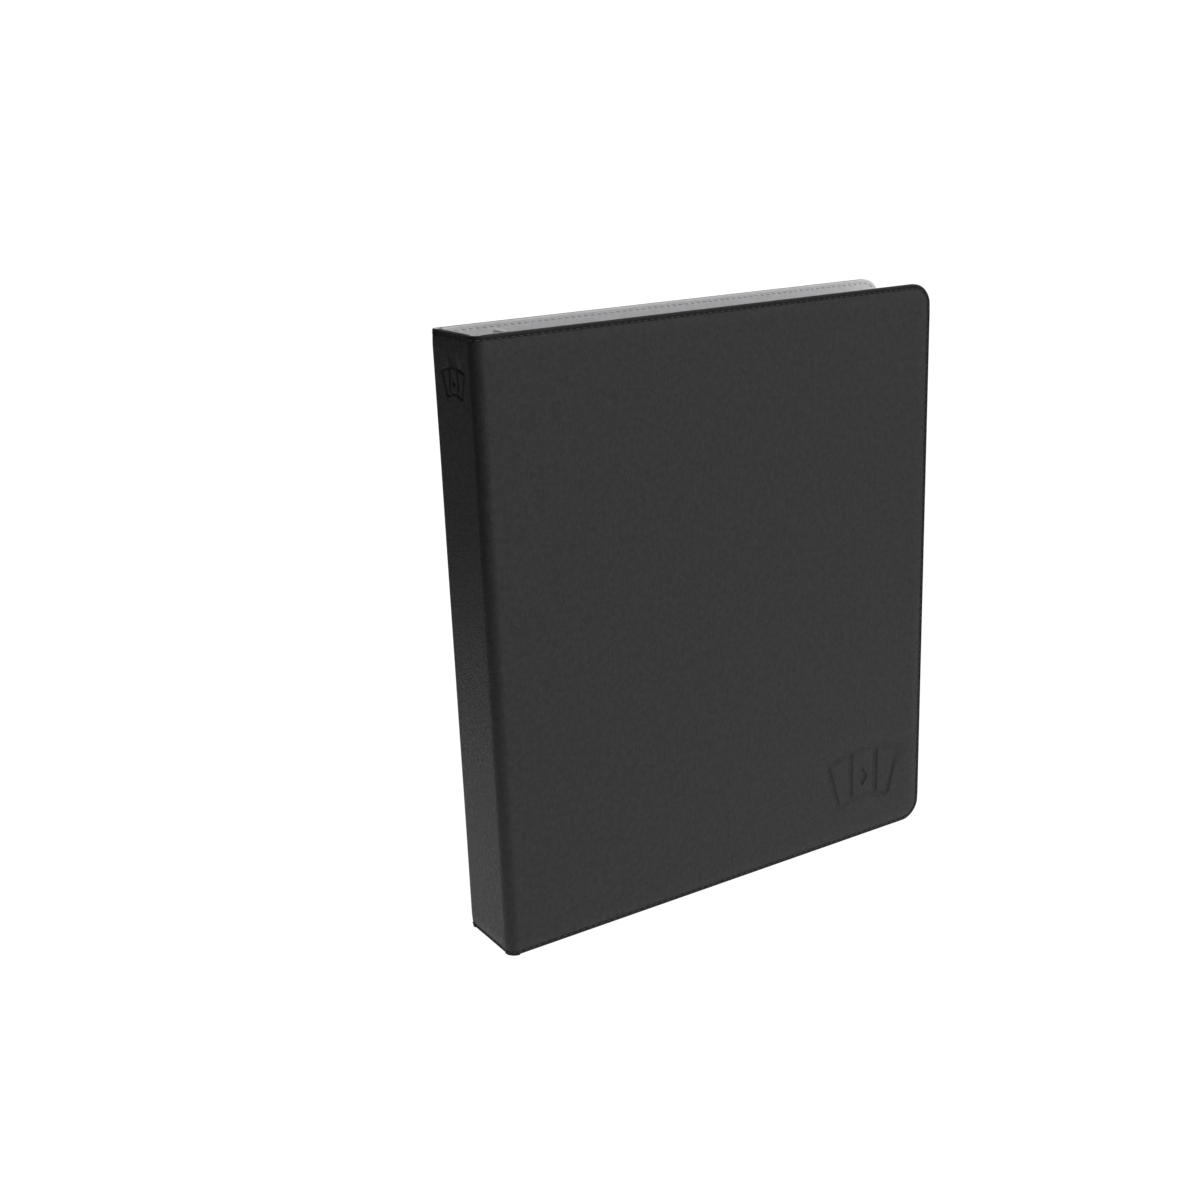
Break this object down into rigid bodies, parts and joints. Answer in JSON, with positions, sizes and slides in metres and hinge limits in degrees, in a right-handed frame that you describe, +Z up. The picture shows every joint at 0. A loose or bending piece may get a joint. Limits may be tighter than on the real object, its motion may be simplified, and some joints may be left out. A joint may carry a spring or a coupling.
{
  "type": "trading card binder",
  "caption": "Padded ring binder for trading cards, with hinged covers, opening rings, two levers and clear pocket pages.",
  "frame": {"origin": "centre of the footprint, at the bottom edges that the closed binder stands on", "axes": "+Z up along the spine, +X from the spine to the fore edge, -Y out of the front cover and +Y out of the back cover"},
  "size_m": [0.285, 0.046, 0.32],
  "materials": {
    "leatherette": "matte fine-grained black leatherette",
    "foam": "closed-cell foam",
    "greyboard": "pressed greyboard",
    "microfibre": "light grey brushed microfibre",
    "nickel": "bright nickel plate",
    "steel": "plated spring steel",
    "clear_film": "clear soft polypropylene film"
  },
  "bodies": {
    "spine": {"spine_skin": "leatherette", "spine_foam": "foam", "spine_board": "greyboard", "spine_lining": "microfibre", "front_fold_strip": "leatherette", "back_fold_strip": "leatherette", "ring_cover_plate": "nickel", "mounting_rivet_bottom": "steel", "mounting_post_bottom": "steel", "lever_pin_bottom": "steel", "mounting_rivet_top": "steel", "mounting_post_top": "steel", "lever_pin_top": "steel"},
    "front_cover": {"front_cover_skin": "leatherette", "front_cover_foam": "foam", "front_cover_board": "greyboard", "front_cover_lining": "microfibre"},
    "back_cover": {"back_cover_skin": "leatherette", "back_cover_foam": "foam", "back_cover_board": "greyboard", "back_cover_lining": "microfibre"},
    "ring_half_front": {"hinge_plate_front": "steel", "ring_top_front": "nickel", "ring_middle_front": "nickel", "ring_bottom_front": "nickel"},
    "ring_half_back": {"hinge_plate_back": "steel", "ring_top_back": "nickel", "ring_middle_back": "nickel", "ring_bottom_back": "nickel"},
    "lever_bottom": {"opening_lever_bottom": "nickel"},
    "lever_top": {"opening_lever_top": "nickel"},
    "page_front_1": {"pocket_page_front_1": "clear_film"},
    "page_front_2": {"pocket_page_front_2": "clear_film"},
    "page_front_3": {"pocket_page_front_3": "clear_film"},
    "page_back_1": {"pocket_page_back_1": "clear_film"},
    "page_back_2": {"pocket_page_back_2": "clear_film"},
    "page_back_3": {"pocket_page_back_3": "clear_film"}
  },
  "joints": [
    {"name": "front_cover_hinge", "type": "hinge", "parent": "spine", "child": "front_cover", "pos_m": [-0.14121, -0.02171, 0.16], "axis": [0, 0, -1], "range_deg": [0, 178]},
    {"name": "back_cover_hinge", "type": "hinge", "parent": "spine", "child": "back_cover", "pos_m": [-0.14121, 0.02171, 0.16], "axis": [0, 0, 1], "range_deg": [0, 178]},
    {"name": "rings_front_open", "type": "hinge", "parent": "spine", "child": "ring_half_front", "pos_m": [-0.1359, -0.0095, 0.16], "axis": [0, 0, -1], "range_deg": [0, 17]},
    {"name": "rings_back_open", "type": "hinge", "parent": "spine", "child": "ring_half_back", "pos_m": [-0.1359, 0.0095, 0.16], "axis": [0, 0, 1], "range_deg": [0, 17]},
    {"name": "lever_bottom_press", "type": "hinge", "parent": "spine", "child": "lever_bottom", "pos_m": [-0.1364, 0, 0.022], "axis": [0, 1, 0], "range_deg": [0, 21.5]},
    {"name": "lever_top_press", "type": "hinge", "parent": "spine", "child": "lever_top", "pos_m": [-0.1364, 0, 0.298], "axis": [0, -1, 0], "range_deg": [0, 21.5]},
    {"name": "page_front_1_turn", "type": "hinge", "parent": "spine", "child": "page_front_1", "pos_m": [-0.1257, 0, 0.16], "axis": [0, 0, -1], "range_deg": [0, 29.7]},
    {"name": "page_front_2_turn", "type": "hinge", "parent": "spine", "child": "page_front_2", "pos_m": [-0.1257, 0, 0.16], "axis": [0, 0, -1], "range_deg": [0, 59.4]},
    {"name": "page_front_3_turn", "type": "hinge", "parent": "spine", "child": "page_front_3", "pos_m": [-0.1257, 0, 0.16], "axis": [0, 0, -1], "range_deg": [0, 89]},
    {"name": "page_back_1_turn", "type": "hinge", "parent": "spine", "child": "page_back_1", "pos_m": [-0.1257, 0, 0.16], "axis": [0, 0, 1], "range_deg": [0, 29.7]},
    {"name": "page_back_2_turn", "type": "hinge", "parent": "spine", "child": "page_back_2", "pos_m": [-0.1257, 0, 0.16], "axis": [0, 0, 1], "range_deg": [0, 59.4]},
    {"name": "page_back_3_turn", "type": "hinge", "parent": "spine", "child": "page_back_3", "pos_m": [-0.1257, 0, 0.16], "axis": [0, 0, 1], "range_deg": [0, 89]}
  ],
  "couplings": [
    {"joint": "rings_back_open", "follows": "rings_front_open", "ratio": 1},
    {"joint": "lever_bottom_press", "follows": "rings_front_open", "ratio": 1.25},
    {"joint": "lever_top_press", "follows": "rings_front_open", "ratio": 1.25},
    {"joint": "page_front_1_turn", "follows": "front_cover_hinge", "ratio": 0.1666},
    {"joint": "page_front_2_turn", "follows": "front_cover_hinge", "ratio": 0.3333},
    {"joint": "page_front_3_turn", "follows": "front_cover_hinge", "ratio": 0.5},
    {"joint": "page_back_1_turn", "follows": "back_cover_hinge", "ratio": 0.1666},
    {"joint": "page_back_2_turn", "follows": "back_cover_hinge", "ratio": 0.3333},
    {"joint": "page_back_3_turn", "follows": "back_cover_hinge", "ratio": 0.5}
  ]
}
